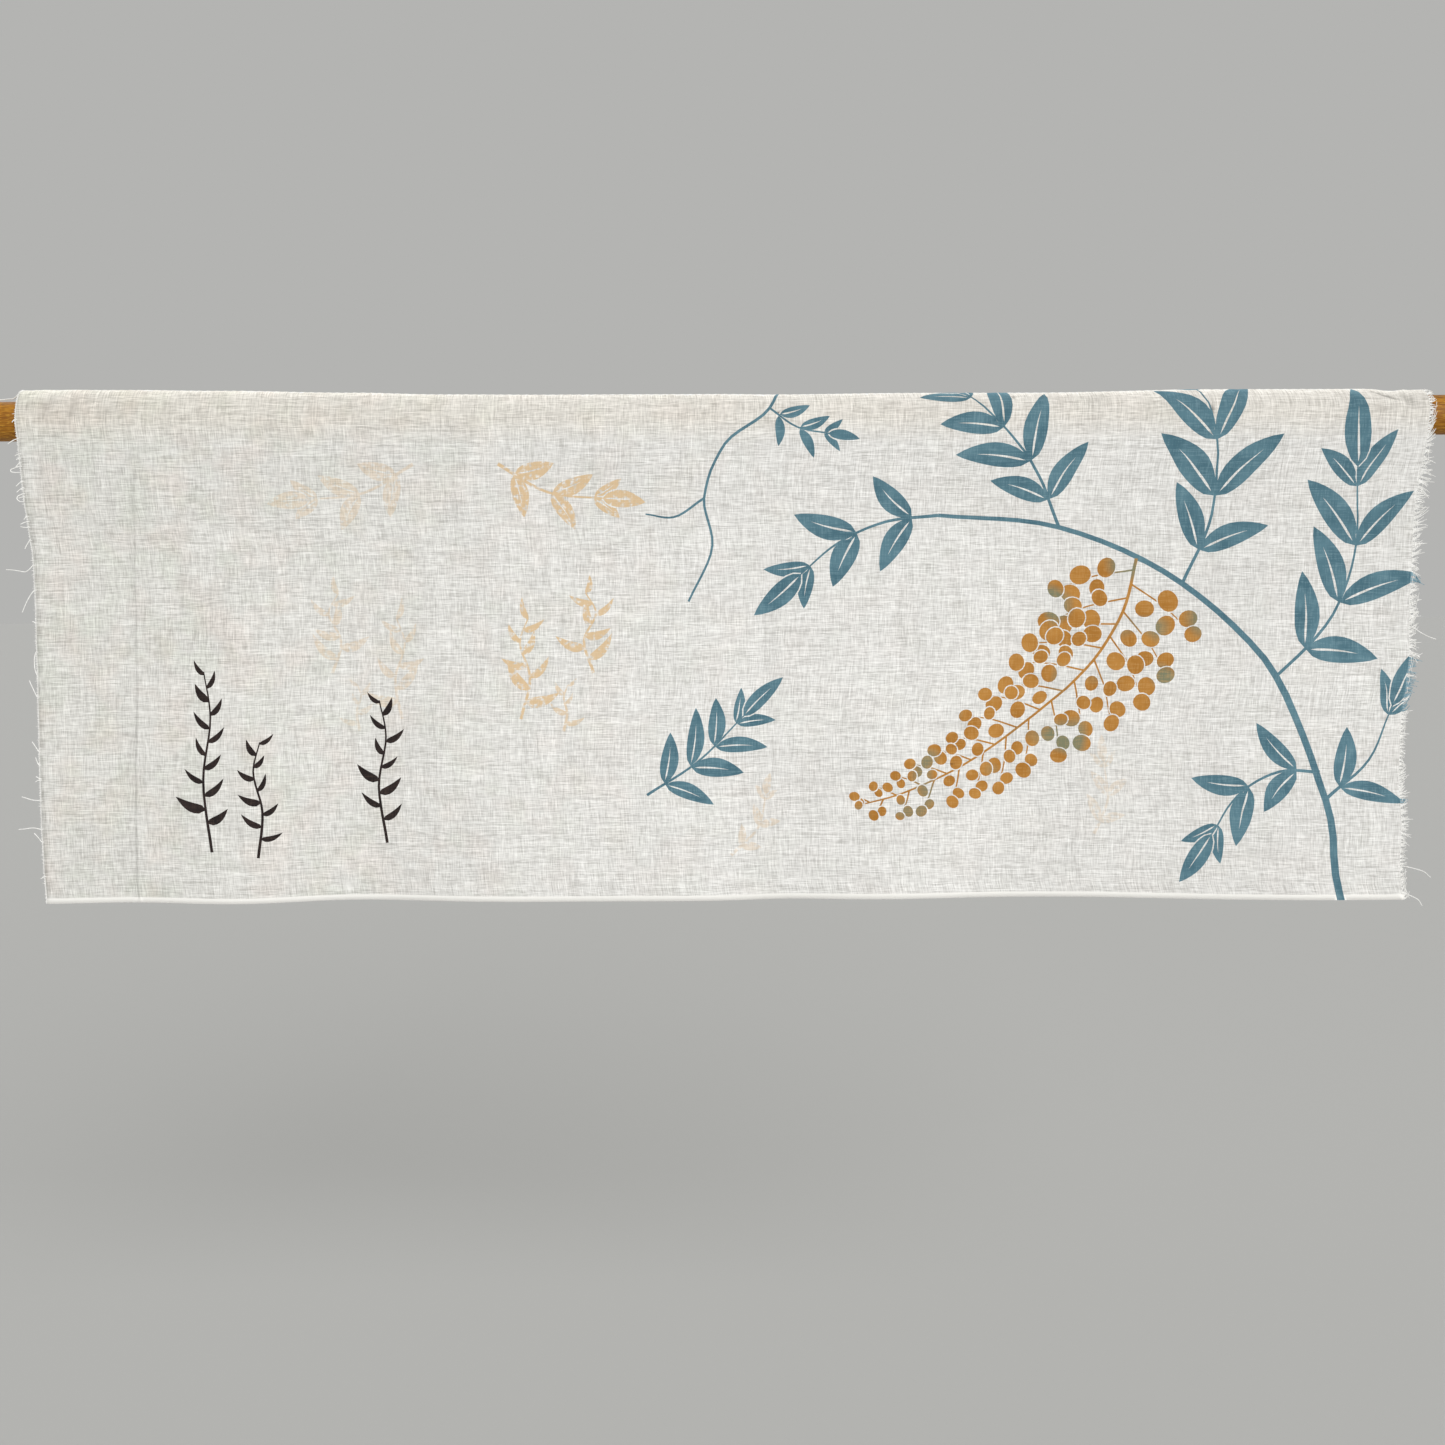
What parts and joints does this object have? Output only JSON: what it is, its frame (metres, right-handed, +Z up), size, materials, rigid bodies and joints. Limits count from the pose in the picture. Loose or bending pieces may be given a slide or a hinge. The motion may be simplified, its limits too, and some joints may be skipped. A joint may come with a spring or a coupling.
{
  "type": "tenugui cotton hand towel hanging over a round wooden rod",
  "caption": "Long thin cotton hand towel with frayed cut ends, hung lengthwise over a plain round wooden rod.",
  "frame": {"origin": "centre of the rod's left end face", "axes": "+X along the rod, towards its right end; +Z up; the towel's printed front faces -Y"},
  "size_m": [1, 0.0288, 0.3397],
  "materials": {
    "cotton_cloth": "unbleached plain-weave cotton, matt",
    "frayed_cotton": "loose cotton threads, matt",
    "rod_wood": "varnished, satin"
  },
  "bodies": {
    "root": {"tenugui_cloth": "cotton_cloth", "frayed_end_right": "frayed_cotton", "frayed_end_left": "frayed_cotton", "wooden_rod": "rod_wood"}
  },
  "joints": []
}
